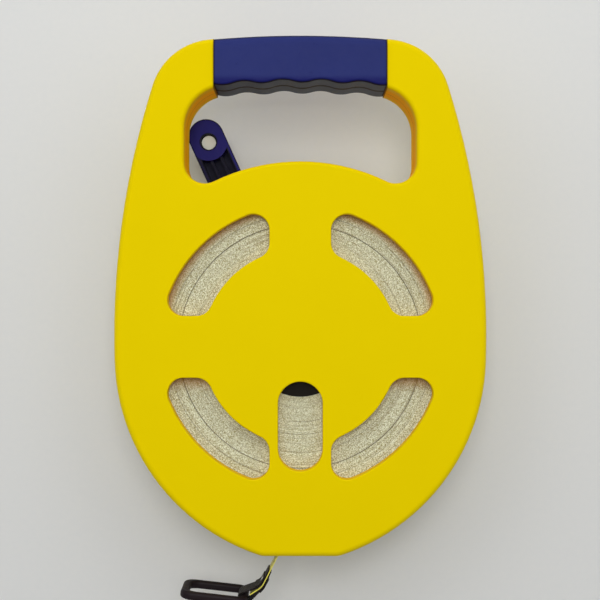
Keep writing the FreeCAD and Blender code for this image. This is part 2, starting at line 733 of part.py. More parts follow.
def make_crank():
    """The arm is a channel open towards the case, with a hub at one end and a boss at the other."""
    body = new_body("crank_arm", z=f"-{REEL_DROP}", lean="crank_lean")
    end = "(crank_rad + arm_over)"
    half = "(arm_wide / 2)"
    arm_back = f"({CRANK_Y} + arm_thick)"
    add(body, CRANK_Y, arm_back, lambda drawing: drawing.loop([
        ("point", f"-{half}", "0"), ("point", half, "0"), ("upright", half),
        ("arc", "0", end, half, 1), ("upright", f"-{half}")]))
    round_edges(body, "arm_round", in_plane(arm_back))
    add(body, CRANK_Y, f"{CRANK_Y} + crank_hub_thick", disc("0", "0", "crank_hub_rad"))
    round_edges(body, "arm_round", in_plane(f"{CRANK_Y} + crank_hub_thick"))

    # The channel: a shallow step, then three deep grooves that leave two ribs between them
    inner = "(arm_wide / 2 - channel_rim)"
    start = "(crank_hub_rad - channel_rim)"
    cut(body, f"{CRANK_Y} - 1", f"{CRANK_Y} + channel_step",
        rectangle(f"-{inner}", inner, start, "crank_rad"))
    groove = f"((2 * {inner} - 2 * rib_thick) / 3)"
    for number in range(3):
        left = f"(-{inner} + {number} * ({groove} + rib_thick))"
        cut(body, f"{CRANK_Y} + channel_step / 2", f"{CRANK_Y} + channel_deep",
            rectangle(left, f"{left} + {groove}", start, "crank_rad"))
    fill = "(arm_wide / 2 - channel_rim / 2)"
    boss_low = f"crank_rad - sqrt({CRANK_BOSS_RAD}^2 - {fill}^2)"
    add(body, CRANK_Y, f"{CRANK_Y} + channel_deep + channel_rim / 2", lambda drawing: drawing.loop([
        ("point", f"-{fill}", boss_low), ("arc", "0", "crank_rad", CRANK_BOSS_RAD, 1),
        ("point", fill, boss_low), ("point", fill, "crank_rad"), ("point", f"-{fill}", "crank_rad")]))

    axle = ("0", "crank_rad")
    cut(body, f"{CRANK_Y} - 1", AXLE_Y, disc(*axle, "axle_hole_rad"))
    cut(body, f"{AXLE_Y} - 1", f"{arm_back} + 1", disc(*axle, "axle_rad + running_fit"))
    side = "(dog_side / 2)"
    add(body, f"{CRANK_Y} - dog_deep", f"{CRANK_Y} + 1",
        rectangle(f"-{side}", side, f"-{side}", side))
    cut(body, SINK_Y, f"{CRANK_Y} + crank_hub_thick + 1", disc("0", "0", "crank_sink_rad"))
    cut(body, f"{CRANK_Y} - dog_deep - 1", f"{SINK_Y} + 1",
        disc("0", "0", "main_screw_rad + rest_fit"))
    return body


def make_knob():
    """Round winding knob, a little waisted, turned about its axle."""
    x, z = crank_place("crank_rad")
    body = new_body("knob", x=x, z=z)
    back = f"({KNOB_Y} + knob_long)"
    add(body, KNOB_Y, back, disc("0", "0", "knob_rad"))
    groove = body.newObject("PartDesign::Groove", "Waist")
    waist = body.newObject("Sketcher::SketchObject", "WaistSketch")
    plane = [item for item in body.Origin.OriginFeatures if item.Role == "XY_Plane"][0]
    waist.AttachmentSupport = [(plane, "")]
    waist.MapMode = "FlatFace"
    low = f"({KNOB_Y} + knob_band)"
    high = f"({back} - knob_band)"
    drawing = Drawing(waist)
    bow = "(((knob_long / 2 - knob_band)^2 + knob_waist^2) / (2 * knob_waist))"
    drawing.loop([("point", "knob_rad", low), ("point", "knob_rad", high),
                  ("arc", f"knob_rad - knob_waist + {bow}", f"({low} + {high}) / 2", bow, 1)])
    groove.Profile = waist
    groove.ReferenceAxis = (waist, ["V_Axis"])
    groove.Angle = 360
    finish(body, groove)
    for depth in (KNOB_Y, back):
        round_edges(body, "knob_round", in_plane(depth))
    sink = f"({back} - knob_sink)"
    cut(body, f"{KNOB_Y} - 1", f"{sink} + 1", disc("0", "0", "axle_rad + running_fit"))
    cut(body, sink, f"{back} + 1", disc("0", "0", "knob_sink_rad"))
    return body


# ---------------------------------------------------------------- tape, straps and ring

def point(x, z):
    return Vector(x, 0, z)


def heading(degrees):
    """Unit vector in the front view, anticlockwise from +X."""
    return point(math.cos(math.radians(degrees)), math.sin(math.radians(degrees)))


def quarter_left(direction):
    return point(-direction.z, direction.x)


def rounded(points, bends):
    """Edges along the points, with each inner corner rounded to its bend radius."""
    edges = []
    start = points[0]
    for before, corner, after, bend in zip(points, points[1:], points[2:], bends):
        arriving = (corner - before).normalize()
        leaving = (after - corner).normalize()
        turn = arriving.getAngle(leaving)
        reach = bend * math.tan(turn / 2)
        first, last = corner - arriving * reach, corner + leaving * reach
        inward = (leaving - arriving).normalize()
        middle = corner + inward * (bend / math.cos(turn / 2) - bend)
        edges.append(Part.LineSegment(start, first).toShape())
        edges.append(Part.Arc(first, middle, last).toShape())
        start = last
    edges.append(Part.LineSegment(start, points[-1]).toShape())
    return edges


def beside(points, apart):
    """A path of two straight runs moved sideways, to the left of its heading."""
    corner = points[1]
    first = (corner - points[0]).normalize()
    second = (points[2] - corner).normalize()
    over, after = quarter_left(first) * apart, quarter_left(second) * apart
    shared = (over + after) * (1 / (1 + first.dot(second)))
    return points[0] + over, corner + shared, points[2] + after


def band(label, edges, thick, wide, holes=()):
    """A flat strip that follows the edges, standing across Y over the tape's width."""
    outline = Part.Wire(edges).makeOffset2D(thick / 2)
    strip = Part.Face(outline).extrude(Vector(0, wide, 0))
    middle = (value(COIL_REAR) - value("tape_front")) / 2
    strip.translate(Vector(0, middle - wide / 2, 0))
    for hole in holes:
        strip = strip.cut(hole)
    made = doc.addObject("Part::Feature", label.title().replace("_", ""))
    made.Shape = strip
    made.Label = label
    return made


class Tail:
    """The tape's route from the coil to the pull ring, and the places along it."""

    def __init__(self):
        foot = value(BOTTOM)
        self.down = heading(180 + value("exit_lean"))
        self.end_down = heading(180 + value("end_lean"))
        self.exit = point(-value("exit_out"), foot)
        bend_end = self.exit - self.down * (value("lip_up") / -self.down.z)
        bend = value("lip_bend")
        self.lip = bend_end + quarter_left(self.down) * bend
        reel = point(0, -value(REEL_DROP))
        away = reel - self.lip
        coil = value("coil_rad") + value("coil_clear")
        spread = math.degrees(math.asin((coil + bend) / away.Length))
        slope = math.degrees(math.atan2(away.z, away.x)) - spread
        incoming = heading(slope)
        self.leave = reel + heading(slope - 90) * coil
        touch = self.lip + heading(slope + 90) * bend
        self.knee = self.exit + self.down * value("tail_long")
        self.bar = self.knee + self.end_down * value("end_long")
        # The two straight runs meet at the corner that the lip bar rounds off
        offset = bend_end - touch
        across = incoming.x * self.down.z - incoming.z * self.down.x
        along = (offset.x * self.down.z - offset.z * self.down.x) / across
        self.corner = touch + incoming * along

    def leg(self, side, apart, above, loop):
        """Points down one side of the tape: above the knee, at it, and where it touches the loop
        round the ring's bar. side is 1 on the outer side of the knee and -1 on the inner."""
        across = quarter_left(self.down) * (side * apart)
        lower = quarter_left(self.end_down) * (side * apart)
        top = self.knee - self.down * above + across
        knee = self.knee + (across + lower) * (1 / (1 + self.down.dot(self.end_down)))
        away = knee - self.bar
        opening = math.degrees(math.acos(loop / away.Length))
        facing = math.degrees(math.atan2(away.z, away.x))
        touch = self.bar + heading(facing - side * opening) * loop
        return top, knee, touch


def rivet(tail, side, radius, half_long):
    """A bar across the layers, on one side of the strap's middle."""
    across = quarter_left(tail.down)
    foot = tail.knee - tail.down * value("rivet_up")
    middle = (value(COIL_REAR) - value("tape_front")) / 2
    foot = foot + Vector(0, middle + side * value("rivet_pitch") / 2, 0)
    return Part.makeCylinder(radius, 2 * half_long, foot - across * half_long, across)


def make_tail():
    """Tape from the coil to the ring, its black strap, the doublers and the rivets."""
    tail = Tail()
    tape, strap = value("tape_thick"), value("strap_thick")
    doubler, fit = value("doubler_thick"), value("strap_fit")
    bend = value("end_bend")
    wide = value("tape_wide")
    holes = [rivet(tail, side, value("rivet_rad") + fit, strap * 5) for side in (1, -1)]

    end = tail.bar - tail.end_down * (value("ring_reach") + value("tape_end_gap"))
    band("tape_lead", rounded([tail.leave, tail.corner, tail.knee, end],
                              [value("lip_bend"), bend]), tape, wide, holes)

    loop = value("ring_reach") + value("ring_fit") + strap / 2
    apart = tape / 2 + fit + strap / 2
    above = value("strap_long")
    outer = tail.leg(1, apart, above, loop)
    inner = tail.leg(-1, apart, above, loop)
    far = tail.bar + tail.end_down * loop
    edges = rounded(list(outer), [bend + apart])
    edges.append(Part.Arc(outer[2], far, inner[2]).toShape())
    edges += rounded(list(inner)[::-1], [bend - apart])
    band("end_strap", edges, strap, wide, holes)

    over = strap / 2 + fit + doubler / 2
    out = apart + over
    for label, side in (("end_doubler_outer", 1), ("end_doubler_inner", -1)):
        leg = tail.leg(side, apart, value("doubler_long"), loop)
        top, knee, touch = beside(leg, side * over)
        stop = knee + (touch - knee) * value("doubler_share")
        band(label, rounded([top, knee, stop], [bend + side * out]), doubler, wide, holes)

    rivets = []
    reach = out + doubler / 2
    head = value("rivet_head_high")
    across = quarter_left(tail.down)
    for side in (1, -1):
        made = rivet(tail, side, value("rivet_rad"), reach + fit)
        for hand in (1, -1):
            cap = rivet(tail, side, value("rivet_head_rad"), head / 2)
            cap.translate(across * (hand * (reach + fit + head / 2)))
            made = made.fuse(cap)
        rivets.append(made)
    feature = doc.addObject("Part::Feature", "EndRivets")
    feature.Shape = Part.makeCompound(rivets)
    feature.Label = "end_rivets"
    return tail


def make_ring(tail):
    """Rounded rectangular pull ring, hinged in the strap's loop by the bar at its right end."""
    body = doc.addObject("PartDesign::Body", "EndRing")
    body.Label = "end_ring"
    middle = (value(COIL_REAR) - value("tape_front")) / 2
    turn = FreeCAD.Rotation(Vector(0, 1, 0), value("ring_slope"))
    body.Placement = FreeCAD.Placement(tail.bar + Vector(0, middle, 0), turn)
    drawn = body.newObject("Sketcher::SketchObject", "Sketch")
    plane = [item for item in body.Origin.OriginFeatures if item.Role == "XY_Plane"][0]
    drawn.AttachmentSupport = [(plane, "")]
    drawn.MapMode = "FlatFace"
    drawn.setExpression("AttachmentOffset.Base.z", bind("-ring_high / 2"))
    drawing = Drawing(drawn)
    for inset, near, far in (("0", "ring_corner", "ring_corner"),
                             ("ring_bar", "ring_near_corner", "ring_far_corner")):
        right, left = f"(ring_bar / 2 - {inset})", f"(ring_bar / 2 - ring_long + {inset})"
        side = f"(ring_wide / 2 - {inset})"
        drawing.loop([("across", f"-{side}"),
                      ("arc", f"{right} - {near}", f"-{side} + {near}", near, 1),
                      ("upright", right),
                      ("arc", f"{right} - {near}", f"{side} - {near}", near, 1),
                      ("across", side),
                      ("arc", f"{left} + {far}", f"{side} - {far}", far, 1),
                      ("upright", left),
                      ("arc", f"{left} + {far}", f"-{side} + {far}", far, 1)])
    pad = body.newObject("PartDesign::Pad", "Pad")
    pad.Profile = drawn
    pad.setExpression("Length", bind("ring_high"))
    finish(body, pad)
    round_edges(body, "ring_round", lambda edge: edge.BoundBox.ZLength < 1e-4)


def make_mouth():
    """Black guide in the foot of the case, with a round bar that the tape bends over."""
    body = new_body("mouth_guide")
    low = f"({BOTTOM} + mouth_recess)"
    high = f"({BOTTOM} + mouth_recess + mouth_high)"
    front = "(tape_front + mouth_gap)"
    rear = f"({COIL_REAR} + mouth_gap)"
    add(body, f"-{front} - mouth_rim", f"{rear} + mouth_rim",
        rectangle("-mouth_left", "-mouth_right", low, high))
    cut(body, f"-{front}", rear,
        rectangle("-mouth_left + mouth_rim", "-mouth_right - mouth_rim", f"{low} - 1", f"{high} + 1"))
    # The tape comes in over the right side, which stops at the middle of the bar
    cut(body, f"-{front} - mouth_rim - 1", f"{rear} + mouth_rim + 1",
        rectangle("-mouth_right - mouth_rim - 1", "-mouth_right + 1", LIP_Z, f"{high} + 1"))
    add(body, f"-{front} - mouth_rim", f"{rear} + mouth_rim",
        disc(LIP_X, LIP_Z, "lip_bend - tape_thick / 2 - rest_fit"))
    return body


# ---------------------------------------------------------------- the whole object

def build():
    half_case("front_shell", -1)
    half_case("rear_shell", 1)
    half_grip("grip_front", -1)
    half_grip("grip_rear", 1)
    screws("case_screws", screw_places(), "(half_deep - sink_deep)", "screw_long")
    screws("grip_screws", grip_screw_places(), "(grip_deep - sink_deep)", "grip_screw_long")
    ring("front_washer", *MIDDLE, "-drum_front - washer_thick + rest_fit / 2",
         "-drum_front - rest_fit / 2", "boss_rad - 1", "post_rad + rest_fit")
    bush = joined([ring("BushSleeve", *MIDDLE, "bush_in", "half_deep", BUSH_RAD,
                        "journal_rad + running_fit"),
                   ring("BushRim", *MIDDLE, "half_deep", "half_deep + bush_rim_thick",
                        "bush_rim", "journal_rad + running_fit")], "rear_bush")
    tail = make_tail()
    make_mouth()
    make_ring(tail)

    make_drum()
    ring("tape_coil", *MIDDLE, "-tape_front", COIL_REAR, "coil_rad", "hub_rad + running_fit")
    pin = rod(*crank_place("(hub_rad - hub_wall / 2)"), "-tape_front", f"{COIL_REAR} - rest_fit",
              "pin_rad - running_fit")
    pin.Label = "tape_anchor"
    make_crank()
    ring("thrust_washer", *MIDDLE, "half_deep + bush_rim_thick + rest_fit",
         f"{CRANK_Y} - rest_fit / 2", "bush_rim - 1", "journal_rad + running_fit")
    socket = f"({CRANK_Y} - dog_deep)"
    ring("drum_insert", *MIDDLE, f"{socket} - insert_long", f"{socket} - rest_fit",
         "insert_rad - running_fit", "main_screw_rad + running_fit")
    ring("crank_washer", *MIDDLE, SINK_Y, f"{SINK_Y} + main_washer_thick",
         "main_washer_rad", "main_screw_rad + rest_fit")
    seat = f"({SINK_Y} + main_washer_thick)"
    joined([rod(*MIDDLE, f"{seat} - main_screw_long", seat, "main_screw_rad"),
            rod(*MIDDLE, seat, f"{seat} + main_head_high", "main_head_rad")], "crank_screw")
    hub_back = f"({CRANK_Y} + crank_hub_thick)"
    cap = rod(*MIDDLE, f"{seat} + main_head_high + cap_proud", f"{hub_back} + cap_proud",
              "crank_sink_rad - running_fit")
    cap.Label = "crank_cap"

    knob_at = crank_place("crank_rad")
    axle_end = f"({AXLE_Y} + axle_long)"
    axle = doc.addObject("Part::Cut", "Axle")
    axle.Base = rod(*knob_at, AXLE_Y, axle_end, "axle_rad")
    axle.Tool = rod(*knob_at, f"{axle_end} - knob_screw_long - post_end_gap", f"{axle_end} + 1",
                    "knob_screw_rad + running_fit")
    axle.Label = "knob_axle"
    ring("knob_washer", *knob_at, f"{CRANK_Y} + arm_thick", f"{KNOB_Y} - rest_fit",
         "knob_rad - knob_round", "axle_rad + rest_fit")
    joined([rod(*knob_at, f"{axle_end} - knob_screw_long", axle_end, "knob_screw_rad"),
            rod(*knob_at, axle_end, f"{axle_end} + knob_head_high", "knob_head_rad")],
           "knob_screw")
    make_knob()
    knob_back = f"({KNOB_Y} + knob_long)"
    knob_cap = rod(*knob_at, f"{knob_back} - knob_cap_thick", knob_back,
                   "knob_sink_rad - running_fit")
    knob_cap.Label = "knob_cap"


NODES = ["front_shell", "rear_shell", "grip_front", "grip_rear", "case_screws", "grip_screws",
         "front_washer", "rear_bush", "mouth_guide", "tape_lead", "end_strap",
         "end_doubler_outer", "end_doubler_inner", "end_rivets", "drum", "tape_coil",
         "tape_anchor", "crank_arm", "crank_screw", "crank_washer", "crank_cap", "thrust_washer",
         "drum_insert", "knob_axle", "knob_washer", "knob_screw", "knob", "knob_cap", "end_ring"]

build()
doc.recompute()
for item in doc.Objects:
    if "Invalid" in item.State or "Error" in item.State:
        raise RuntimeError(f"{item.Label} failed")
os.makedirs("parts", exist_ok=True)
for name in NODES:
    shape = doc.getObjectsByLabel(name)[0].Shape
    if shape.isNull() or not shape.isValid() or not shape.Solids:
        raise RuntimeError(f"{name} has no sound solid")
    shape.exportStep(f"parts/{name}.step")
    box = shape.BoundBox
    print(f"{name:18} {len(shape.Solids)} {shape.Volume / 1000:8.2f} cm3  "
          f"x {box.XMin:7.1f} {box.XMax:7.1f}  y {box.YMin:6.1f} {box.YMax:6.1f}  "
          f"z {box.ZMin:7.1f} {box.ZMax:7.1f}")
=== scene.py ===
import json
import math
import random

import bmesh
import bpy
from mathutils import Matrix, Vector


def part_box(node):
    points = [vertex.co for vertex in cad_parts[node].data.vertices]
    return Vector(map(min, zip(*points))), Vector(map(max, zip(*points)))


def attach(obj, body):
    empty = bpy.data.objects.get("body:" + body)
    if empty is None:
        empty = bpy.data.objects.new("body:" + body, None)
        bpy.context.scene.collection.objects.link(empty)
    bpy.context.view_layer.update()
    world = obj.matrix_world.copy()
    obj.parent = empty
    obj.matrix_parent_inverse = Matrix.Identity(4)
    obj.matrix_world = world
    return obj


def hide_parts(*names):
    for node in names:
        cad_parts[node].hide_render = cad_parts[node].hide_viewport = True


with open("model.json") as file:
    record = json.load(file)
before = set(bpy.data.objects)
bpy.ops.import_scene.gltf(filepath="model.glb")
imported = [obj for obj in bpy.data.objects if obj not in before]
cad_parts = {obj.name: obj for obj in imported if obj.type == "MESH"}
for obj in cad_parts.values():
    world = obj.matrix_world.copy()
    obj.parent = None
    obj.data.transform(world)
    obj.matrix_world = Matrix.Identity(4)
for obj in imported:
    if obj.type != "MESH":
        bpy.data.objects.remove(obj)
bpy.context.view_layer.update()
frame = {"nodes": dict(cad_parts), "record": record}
nodes = frame["nodes"]
body_of_node = {name: body for body, names in frame["record"]["behaviour"]["bodies"].items()
                for name in names}
slot_of_node = {row["node"]: row["material_slot"] for row in frame["record"]["subparts"]}
joints = {row["name"]: row for row in frame["record"]["behaviour"]["joints"]}
MM = 0.001

# ---------------------------------------------------------------- places taken from the frame

FACE_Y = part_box("front_shell")[0].y
BACK_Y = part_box("rear_shell")[1].y
REEL_Z = joints["drum_spin"]["pos_m"][2]
KNOB_AT = joints["knob_spin"]["pos_m"]
KNOB_END_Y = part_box("knob")[1].y
GRIP_FACE_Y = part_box("grip_front")[0].y
GRIP_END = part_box("grip_front")[1].x
GRIP_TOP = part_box("grip_front")[1].z
ARM_FRONT_Y = min(v.co.y for v in nodes["crank_arm"].data.vertices
                  if math.hypot(v.co.x, v.co.z - REEL_Z) > 100 * MM)

# ---------------------------------------------------------------- places on the CAD model

ARCH_RAD = 510 * MM    # the arched top of the case and the grip
ARM_HALF = 9.4 * MM    # half the width of the crank's arm
ARM_OVER = 2.9 * MM    # how far the middle of the arm's round end lies past the knob's axle
SCREW_REACH = 9 * MM   # points nearer than this to each other belong to one screw
SHANK_RAD = 1.5 * MM
TAPE_MIDDLE_Y = -1.5 * MM
# Turns of tape that lie deeper than their neighbours, with painted shade along each: radius, how dark the
# painted line is
DARK_TURNS = ((61.7 * MM, 0.75), (53.7 * MM, 0.25), (66.8 * MM, 0.45), (44.6 * MM, 0.35), (38.1 * MM, 0.3))

# ---------------------------------------------------------------- camera, lamps and stage

LENS = 65.4
CAMERA_AT = (-0.15 * MM, FACE_Y - 545 * MM, -119.5 * MM)
LAMP_AIM = (0, 0, -120 * MM)
LAMP_AWAY = 1.35
# Name, azimuth and elevation in degrees seen from the reel, width in metres, power in watts
LAMPS = (("key", 0, 12, 0.5, 6.6), ("high", 0, 55, 1.2, 5.6), ("left", -45, 15, 1.0, 2.8),
         ("right", 50, 20, 1.2, 2.6))
WORLD_COLOUR = (0.98, 0.99, 1.0, 1)
WORLD_STRENGTH = 0.27
STAGE_WIDE = 6
STAGE_GAP = 2 * MM


# ---------------------------------------------------------------- colours and node trees

def linear(level):
    """Scene-linear value of a 0-255 level as a screen shows it."""
    level /= 255
    return level / 12.92 if level <= 0.04045 else ((level + 0.055) / 1.055) ** 2.4


def colour(red, green, blue):
    return (linear(red), linear(green), linear(blue), 1.0)


class Finish:
    """A material under construction. Inputs are numbers, colours or other nodes' sockets."""

    def __init__(self, name, **fixed):
        self.material = bpy.data.materials.new(name)
        self.material.use_nodes = True
        self.tree = self.material.node_tree
        self.shader = self.tree.nodes["Principled BSDF"]
        for socket, value in fixed.items():
            self.shade(socket.replace("_", " "), value)

    def put(self, socket, value):
        if isinstance(value, bpy.types.NodeSocket):
            self.tree.links.new(value, socket)
        else:
            socket.default_value = value

    def shade(self, socket, value):
        """Sets or links one of the shader's own sockets."""
        self.put(self.shader.inputs[socket], value)

    def add(self, kind, inputs=(), **settings):
        node = self.tree.nodes.new("ShaderNode" + kind)
        for name, value in settings.items():
            setattr(node, name, value)
        for key, value in dict(inputs).items():
            self.put(node.inputs[key], value)
        return node

    def math(self, operation, one, two=0.0):
        return self.add("Math", {0: one, 1: two}, operation=operation).outputs[0]

    def times(self, *values):
        product = values[0]
        for value in values[1:]:
            product = self.math("MULTIPLY", product, value)
        return product

    def less(self, one, two):
        return self.math("SUBTRACT", one, two)

    def most(self, one, two):
        return self.math("MAXIMUM", one, two)

    def size(self, value):
        return self.math("ABSOLUTE", value)

    def span(self, one, two):
        """The straight distance that two distances at a right angle make."""
        return self.math("SQRT", self.math("ADD", self.times(one, one), self.times(two, two)))

    def ramp(self, value, low, high, at_low=0.0, at_high=1.0):
        """A smooth step from at_low, where value is low, to at_high, where it is high."""
        inputs = {"Value": value, "From Min": low, "From Max": high, "To Min": at_low, "To Max": at_high}
        return self.add("MapRange", inputs, interpolation_type="SMOOTHSTEP").outputs[0]

    def fade(self, value, low, high, strength=1.0):
        """A smooth step from strength, where value is low, to nothing, where it is high."""
        return self.ramp(value, low, high, strength, 0.0)

    def mix(self, factor, one, two):
        node = self.add("Mix", data_type="RGBA")
        for index, value in ((0, factor), (6, one), (7, two)):
            self.put(node.inputs[index], value)
        return node.outputs[2]

    def place(self):
        """The point in the row frame, in metres, as the piece sits at rest."""
        return self.add("TexCoord").outputs["Object"]

    def axes(self, vector):
        return self.add("SeparateXYZ", {0: vector}).outputs[:3]

    def vector(self, x, y, z=0.0):
        return self.add("CombineXYZ", {0: x, 1: y, 2: z}).outputs[0]

    def stretch(self, vector, scale):
        return self.add("Mapping", {"Vector": vector, "Scale": scale}).outputs[0]

    def noise(self, vector, scale=1.0, detail=2.0, roughness=0.5):
        inputs = {"Vector": vector, "Scale": scale, "Detail": detail, "Roughness": roughness}
        return self.add("TexNoise", inputs).outputs["Fac"]

    def bump(self, height, distance):
        """Relief on the surface, distance high in metres."""
        self.shade("Normal", self.add("Bump", {"Height": height, "Distance": distance}).outputs[0])


def moulded(name, base, shade, rough, specular, grain, mottle):
    """Moulded plastic: faint clouds in the colour, spark-eroded grain and fine rub marks. The grain
    is in millimetres, and mottle says how strong the clouds are."""
    cloud_scale, mark_scale, grain_scale, rough_swing = 38, 420, 1800, 0.06
    finish = Finish(name, Specular_IOR_Level=specular)
    place = finish.place()
    clouds = finish.ramp(finish.noise(place, cloud_scale, 3), 0.3, 0.7)
    marks = finish.noise(place, mark_scale, 5, 0.65)
    tone = finish.mix(finish.times(clouds, mottle), base, shade)
    tone = finish.mix(finish.ramp(marks, 0.60, 0.78, 0.0, 2 * mottle), tone, shade)
    finish.shade("Base Color", tone)
    finish.shade("Roughness", finish.ramp(marks, 0.25, 0.75, rough - rough_swing, rough + rough_swing))
    finish.bump(finish.noise(place, grain_scale), grain * MM)
    return finish, tone


def yellow_case():
    """Satin yellow plastic. Inside the hand hole and the windows it is painted orange as painted bounce
    light, and under the grip it is painted near black as painted shade. The shells and the grip leave dark
    lines where they meet."""
    hole_half, hole_floor, hole_roof = 68 * MM, -66 * MM, -10.5 * MM
    windows_end = 77 * MM
    grip_low = -20 * MM
    finish, tone = moulded("case_yellow", colour(234, 207, 0), colour(218, 186, 0), 0.55, 0.12, 0.012, 0.05)
    finish.shade("Specular Tint", colour(255, 226, 60))
    x, y, z = finish.axes(finish.place())
    wide = finish.size(x)
    from_axis = finish.span(x, finish.less(z, REEL_Z))
    # Painted bounce light: the walls of the hand hole and the windows are painted orange, a little at their
    # rounded edges and fully some 10 mm in.
    in_hole = finish.times(finish.fade(wide, hole_half - 2 * MM, hole_half + 2 * MM),
                           finish.ramp(z, hole_floor - 2 * MM, hole_floor + 2 * MM),
                           finish.fade(z, hole_roof - 1.5 * MM, hole_roof + 1.5 * MM))
    inside = finish.most(in_hole, finish.fade(from_axis, windows_end - MM, windows_end + MM))
    depth = finish.math("MINIMUM", finish.less(y, FACE_Y), finish.less(BACK_Y, y))
    deep = finish.times(inside, finish.most(finish.ramp(depth, 0.2 * MM, 2.2 * MM, 0.0, 0.4),
                                            finish.ramp(depth, 0.6 * MM, 10 * MM)))
    seam = finish.fade(finish.size(y), 0.12 * MM, 0.42 * MM, 0.6)
    beside_grip = finish.times(finish.fade(wide, GRIP_END + 0.2 * MM, GRIP_END + 0.7 * MM, 0.75),
                               finish.ramp(z, grip_low, grip_low + 2 * MM))
    # Painted shade: the yellow under the grip is painted near black.
    painted_shade_under_grip = finish.times(finish.fade(wide, GRIP_END - 1.0 * MM, GRIP_END - 0.5 * MM),
                              finish.ramp(z, grip_low - 2 * MM, grip_low))
    # The orange is painted bounce light and the near black is painted shade; the two browns are the dark
    # lines where the parts meet.
    for mask, paint in ((deep, colour(254, 186, 0)), (seam, colour(92, 44, 8)),
                        (beside_grip, colour(88, 52, 4)), (painted_shade_under_grip, colour(30, 20, 16))):
        tone = finish.mix(mask, tone, paint)
    finish.shade("Roughness", finish.math("ADD", 0.5, finish.times(deep, 0.3)))
    finish.shade("Base Color", tone)
    return finish.material


def tape_edges():
    """The edges of the wound tape: coated glass fibre, each turn a little lighter or darker, in
    short dashes along the turn. A painted brown shade stands for the shade the case's windows throw on it
    from above, and painted shade lines mark the turns that lie deeper."""
    turn_length = 60 * MM    # what a turn's angle of one radian counts for, at a middle radius
    dash_scale, band_scale, speck_scale, gap_scale = (3300, 1800, 300), (1500, 14), 2000, (200, 2.2)
    windows_top, lower_windows_top = 71.4 * MM, -15 * MM
    finish = Finish("tape_edge", Specular_IOR_Level=0.25)
    place = finish.place()
    x, y, z = finish.axes(place)
    high = finish.less(z, REEL_Z)
    radius = finish.span(x, high)
    turn = finish.math("ARCTAN2", high, x)
    along = finish.times(turn, turn_length)

    dashes = finish.noise(finish.stretch(finish.vector(radius, along, y), dash_scale), detail=1)
    bands = finish.noise(finish.vector(
        finish.times(radius, band_scale[0]), finish.times(along, band_scale[1])), roughness=0.6)
    specks = finish.noise(place, speck_scale, 1)
    tone = finish.mix(finish.ramp(dashes, 0.36, 0.62), colour(172, 165, 116), colour(246, 248, 226))
    tone = finish.mix(finish.fade(bands, 0.30, 0.5, 0.5), tone, colour(150, 138, 98))
    tone = finish.mix(finish.ramp(specks, 0.60, 0.72, 0.0, 0.4), tone, colour(220, 204, 172))
    tone = finish.mix(finish.ramp(specks, 0.38, 0.27, 0.0, 0.7), tone, colour(116, 102, 48))

    whole = finish.ramp(finish.noise(finish.vector(
        finish.times(radius, gap_scale[0]), finish.times(turn, gap_scale[1])), detail=1), 0.35, 0.55)
    # Painted shade along the turns that lie deeper.
    for dark_radius, strength in DARK_TURNS:
        line = finish.fade(finish.size(finish.less(radius, dark_radius)), 0.08 * MM, 0.34 * MM, strength)
        if strength < 0.5:
            line = finish.times(line, whole)
        tone = finish.mix(line, tone, colour(84, 70, 40))

    # Painted brown-orange shade near the outer edges of the upper windows and the upper ends of the lower
    # windows, on the front half, fixed in place while the coil turns.
    still = finish.add("NewGeometry").outputs["Position"]
    still_high = finish.less(finish.axes(still)[2], REEL_Z)
    upper = finish.ramp(still_high, 0.0, 6 * MM)
    above = finish.times(upper, finish.ramp(radius, windows_top - 4.9 * MM, windows_top))
    below = finish.times(finish.less(1.0, upper),
                         finish.ramp(still_high, lower_windows_top - 9 * MM, lower_windows_top))
    shade = finish.times(finish.most(above, below), finish.fade(y, -4 * MM, 0.0, 0.7))
    tone = finish.mix(shade, tone, colour(178, 122, 24))
    finish.shade("Base Color", tone)
    finish.shade("Roughness", finish.ramp(dashes, 0.3, 0.7, 0.75, 0.5))
    finish.bump(dashes, 0.05 * MM)
    return finish.material


def blue_grip():
    """Blue grip, with painted shade where its edges turn away, painted grey bounce light underneath, a
    painted shadow line under each face's lower edge, and dark lines at its seams.
    """
    face_off = -GRIP_FACE_Y
    finish, tone = moulded("grip_blue", colour(38, 47, 109), colour(28, 34, 86), 0.6, 0.12, 0.03, 0.2)
    x, y, z = finish.axes(finish.place())
    off_middle = finish.size(y)
    on_face = finish.ramp(off_middle, face_off - 1.3 * MM, face_off - 0.5 * MM)
    # Painted shade on the lower part of each face and along the arched top edge, painted grey bounce light
    # underneath, and a painted shadow line under each face's lower edge.
    low = finish.fade(z, -10.0 * MM, -6.6 * MM)
    arched = finish.math("ADD", z, finish.times(x, x, 1 / (2 * ARCH_RAD)))
    painted_top_shade = finish.ramp(arched, GRIP_TOP - 1.6 * MM, GRIP_TOP - 0.6 * MM, 0.0, 0.9)
    under = finish.times(finish.fade(z, -7.0 * MM, -6.0 * MM), finish.less(1.0, on_face))
    from_edge = finish.size(finish.less(off_middle, face_off - 1.0 * MM))
    painted_shadow_line = finish.times(finish.fade(from_edge, 0.4 * MM, 0.9 * MM, 0.9), low)
    seam = finish.most(finish.fade(off_middle, 1.1 * MM, 1.9 * MM, 0.95),
                       finish.ramp(finish.size(x), GRIP_END - 0.8 * MM, GRIP_END - 0.3 * MM, 0.0, 0.8))
    # The first four are painted shade, painted bounce light and a painted shadow; the last are the dark seam
    # lines.
    for mask, paint in ((finish.times(low, on_face), colour(16, 20, 92)), (painted_top_shade, colour(18, 16, 50)),
                        (under, colour(85, 96, 120)), (painted_shadow_line, colour(16, 14, 26)),
                        (seam, colour(20, 15, 22))):
        tone = finish.mix(mask, tone, paint)
    finish.shade("Base Color", tone)
    return finish.material


